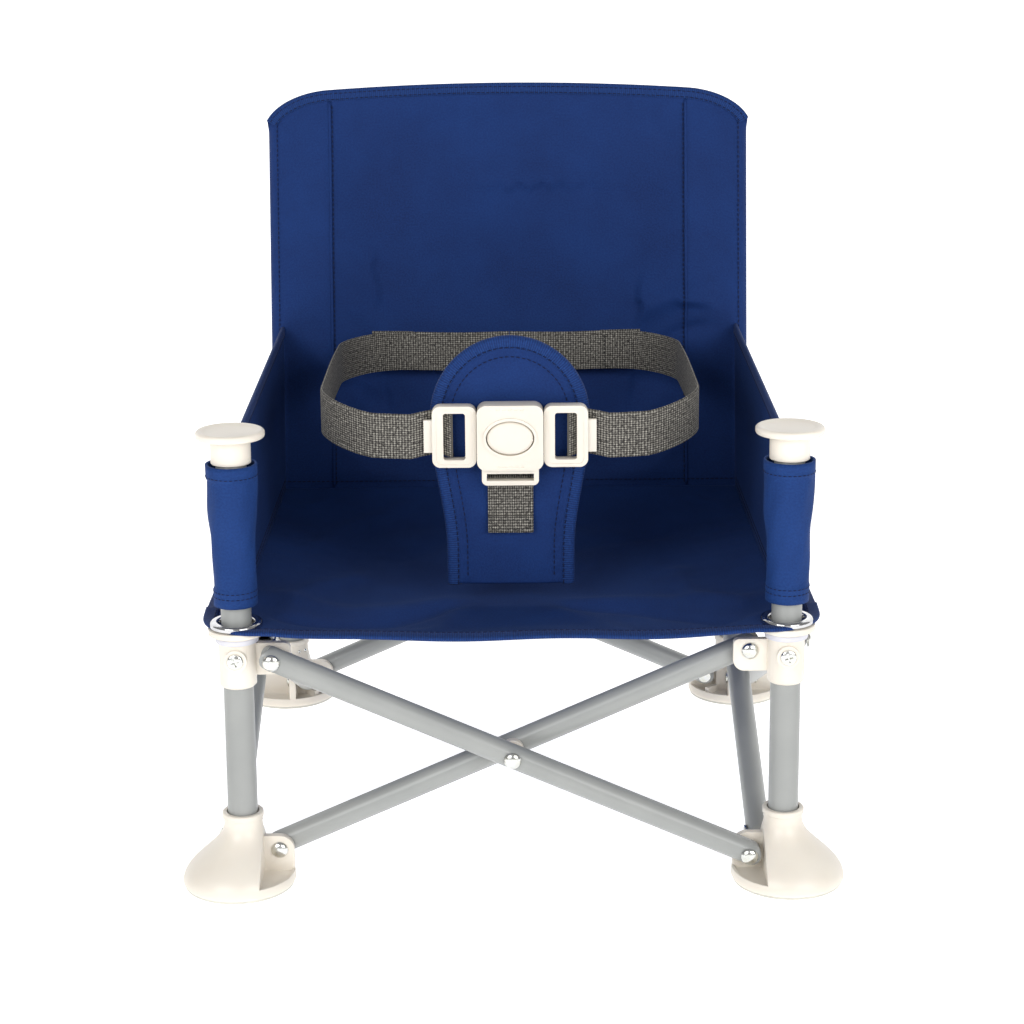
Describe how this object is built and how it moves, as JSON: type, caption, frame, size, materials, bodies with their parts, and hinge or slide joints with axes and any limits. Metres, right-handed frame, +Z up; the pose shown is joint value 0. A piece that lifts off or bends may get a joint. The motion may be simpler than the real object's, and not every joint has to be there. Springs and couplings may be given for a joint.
{
  "type": "folding camp chair",
  "caption": "Low folding camp seat for a small child: four scissor-braced posts, a fabric seat with sides and back, a crotch pad and a buckled waist belt.",
  "frame": {"origin": "on the ground, below the middle of the square of four feet", "axes": "+Z up, +Y from the open front to the back panel, +X to the right seen from the front"},
  "size_m": [0.3556, 0.3718, 0.4],
  "materials": {
    "blue_fabric": "matte woven polyester",
    "grey_webbing": "coarse heathered webbing",
    "ivory_plastic": "satin moulded",
    "grey_paint": "satin powder coat",
    "zinc": "bright zinc plate",
    "chrome": "polished"
  },
  "bodies": {
    "foot_fl": {"foot_fl": "ivory_plastic"},
    "foot_fr": {"foot_fr": "ivory_plastic"},
    "foot_rr": {"foot_rr": "ivory_plastic"},
    "foot_rl": {"foot_rl": "ivory_plastic"},
    "hub_fl": {"hub_fl": "ivory_plastic", "post_fl": "grey_paint", "cap_left": "ivory_plastic", "grommet_left": "chrome", "side_panel_left": "blue_fabric"},
    "hub_fr": {"hub_fr": "ivory_plastic", "post_fr": "grey_paint", "cap_right": "ivory_plastic", "grommet_right": "chrome", "side_panel_right": "blue_fabric"},
    "hub_rr": {"hub_rr": "ivory_plastic", "post_rr": "grey_paint", "post_plug_rr": "ivory_plastic"},
    "hub_rl": {"hub_rl": "ivory_plastic", "post_rl": "grey_paint", "post_plug_rl": "ivory_plastic", "back_panel": "blue_fabric"},
    "brace_front_inner": {"brace_front_inner": "grey_paint", "rivet_front_inner_foot": "zinc", "rivet_front_inner_hub": "zinc"},
    "brace_front_outer": {"brace_front_outer": "grey_paint", "rivet_front_outer_foot": "zinc", "rivet_front_outer_hub": "zinc", "rivet_front_centre": "zinc"},
    "brace_right_inner": {"brace_right_inner": "grey_paint", "rivet_right_inner_foot": "zinc", "rivet_right_inner_hub": "zinc"},
    "brace_right_outer": {"brace_right_outer": "grey_paint", "rivet_right_outer_foot": "zinc", "rivet_right_outer_hub": "zinc", "rivet_right_centre": "zinc"},
    "brace_rear_inner": {"brace_rear_inner": "grey_paint", "rivet_rear_inner_foot": "zinc", "rivet_rear_inner_hub": "zinc"},
    "brace_rear_outer": {"brace_rear_outer": "grey_paint", "rivet_rear_outer_foot": "zinc", "rivet_rear_outer_hub": "zinc", "rivet_rear_centre": "zinc"},
    "brace_left_inner": {"brace_left_inner": "grey_paint", "rivet_left_inner_foot": "zinc", "rivet_left_inner_hub": "zinc"},
    "brace_left_outer": {"brace_left_outer": "grey_paint", "rivet_left_outer_foot": "zinc", "rivet_left_outer_hub": "zinc", "rivet_left_centre": "zinc"},
    "seat_left": {"seat_half_left": "blue_fabric"},
    "seat_right": {"seat_half_right": "blue_fabric"},
    "harness": {"crotch_pad": "blue_fabric", "crotch_strap": "grey_webbing", "buckle_body": "ivory_plastic"},
    "buckle_button": {"buckle_button": "ivory_plastic"},
    "clip_left": {"buckle_clip_left": "ivory_plastic", "waist_belt_left": "grey_webbing"},
    "clip_right": {"buckle_clip_right": "ivory_plastic", "waist_belt_right": "grey_webbing"}
  },
  "joints": [
    {"name": "fold", "type": "hinge", "parent": "foot_fl", "child": "brace_front_inner", "pos_m": [-0.126, -0.14213, 0.017], "axis": [0, -1, 0], "range_deg": [0, 46], "deforming": ["back_panel", "side_panel_left", "side_panel_right", "waist_belt_left", "waist_belt_right"]},
    {"name": "front_crossing", "type": "hinge", "parent": "brace_front_inner", "child": "brace_front_outer", "pos_m": [0, -0.15113, 0.07225], "axis": [0, 1, 0], "range_deg": [0, 92]},
    {"name": "front_right_hub_turn", "type": "hinge", "parent": "brace_front_inner", "child": "hub_fr", "pos_m": [0.126, -0.14213, 0.1275], "axis": [0, 1, 0], "range_deg": [0, 46]},
    {"name": "front_right_foot_turn", "type": "hinge", "parent": "brace_front_outer", "child": "foot_fr", "pos_m": [0.126, -0.16013, 0.017], "axis": [0, -1, 0], "range_deg": [0, 46]},
    {"name": "front_left_hub_turn", "type": "hinge", "parent": "brace_front_outer", "child": "hub_fl", "pos_m": [-0.126, -0.16013, 0.1275], "axis": [0, -1, 0], "range_deg": [0, 46]},
    {"name": "left_outer_lift", "type": "hinge", "parent": "foot_fl", "child": "brace_left_outer", "pos_m": [-0.152, -0.13413, 0.017], "axis": [1, 0, 0], "range_deg": [0, 46]},
    {"name": "left_crossing", "type": "hinge", "parent": "brace_left_outer", "child": "brace_left_inner", "pos_m": [-0.143, -0.00813, 0.07225], "axis": [-1, 0, 0], "range_deg": [0, 92]},
    {"name": "rear_left_hub_turn", "type": "hinge", "parent": "brace_left_outer", "child": "hub_rl", "pos_m": [-0.152, 0.11787, 0.1275], "axis": [-1, 0, 0], "range_deg": [0, 46]},
    {"name": "rear_left_foot_turn", "type": "hinge", "parent": "brace_left_inner", "child": "foot_rl", "pos_m": [-0.134, 0.11787, 0.017], "axis": [1, 0, 0], "range_deg": [0, 46]},
    {"name": "right_inner_lift", "type": "hinge", "parent": "foot_fr", "child": "brace_right_inner", "pos_m": [0.134, -0.13413, 0.017], "axis": [1, 0, 0], "range_deg": [0, 46]},
    {"name": "right_crossing", "type": "hinge", "parent": "brace_right_inner", "child": "brace_right_outer", "pos_m": [0.143, -0.00813, 0.07225], "axis": [-1, 0, 0], "range_deg": [0, 92]},
    {"name": "rear_right_hub_turn", "type": "hinge", "parent": "brace_right_inner", "child": "hub_rr", "pos_m": [0.134, 0.11787, 0.1275], "axis": [-1, 0, 0], "range_deg": [0, 46]},
    {"name": "rear_right_foot_turn", "type": "hinge", "parent": "brace_right_outer", "child": "foot_rr", "pos_m": [0.152, 0.11787, 0.017], "axis": [1, 0, 0], "range_deg": [0, 46]},
    {"name": "rear_inner_lift", "type": "hinge", "parent": "foot_rr", "child": "brace_rear_inner", "pos_m": [0.126, 0.12587, 0.017], "axis": [0, 1, 0], "range_deg": [0, 46]},
    {"name": "rear_crossing", "type": "hinge", "parent": "brace_rear_inner", "child": "brace_rear_outer", "pos_m": [0, 0.13487, 0.07225], "axis": [0, -1, 0], "range_deg": [0, 92]},
    {"name": "seat_left_fold", "type": "hinge", "parent": "hub_fl", "child": "seat_left", "pos_m": [-0.125, -0.00813, 0.1433], "axis": [0, -1, 0], "range_deg": [0, 68.03], "deforming": ["seat_half_left"]},
    {"name": "seat_right_fold", "type": "hinge", "parent": "hub_fr", "child": "seat_right", "pos_m": [0.125, -0.00813, 0.1433], "axis": [0, 1, 0], "range_deg": [0, 68.03], "deforming": ["seat_half_right"]},
    {"name": "harness_lift", "type": "slide", "parent": "hub_fl", "child": "harness", "axis": [-0.541, -0.2537, 0.8018], "range_m": [0, 0.1447]},
    {"name": "buckle_press", "type": "slide", "parent": "harness", "child": "buckle_button", "axis": [0, 1, 0], "range_m": [0, 0.002], "stiffness_N_per_m": 900},
    {"name": "clip_left_release", "type": "slide", "parent": "harness", "child": "clip_left", "axis": [-1, 0, 0], "range_m": [0, 0.018]},
    {"name": "clip_right_release", "type": "slide", "parent": "harness", "child": "clip_right", "axis": [1, 0, 0], "range_m": [0, 0.018]}
  ],
  "couplings": [
    {"joint": "front_crossing", "follows": "fold", "ratio": 2},
    {"joint": "front_right_hub_turn", "follows": "fold", "ratio": 1},
    {"joint": "front_right_foot_turn", "follows": "fold", "ratio": 1},
    {"joint": "front_left_hub_turn", "follows": "fold", "ratio": 1},
    {"joint": "left_outer_lift", "follows": "fold", "ratio": 1},
    {"joint": "left_crossing", "follows": "fold", "ratio": 2},
    {"joint": "rear_left_hub_turn", "follows": "fold", "ratio": 1},
    {"joint": "rear_left_foot_turn", "follows": "fold", "ratio": 1},
    {"joint": "right_inner_lift", "follows": "fold", "ratio": 1},
    {"joint": "right_crossing", "follows": "fold", "ratio": 2},
    {"joint": "rear_right_hub_turn", "follows": "fold", "ratio": 1},
    {"joint": "rear_right_foot_turn", "follows": "fold", "ratio": 1},
    {"joint": "rear_inner_lift", "follows": "fold", "ratio": 1},
    {"joint": "rear_crossing", "follows": "fold", "ratio": 2},
    {"joint": "seat_left_fold", "follows": "fold", "ratio": 1.4787},
    {"joint": "seat_right_fold", "follows": "fold", "ratio": 1.4787},
    {"joint": "harness_lift", "follows": "fold", "m_per_rad": 0.18007}
  ]
}
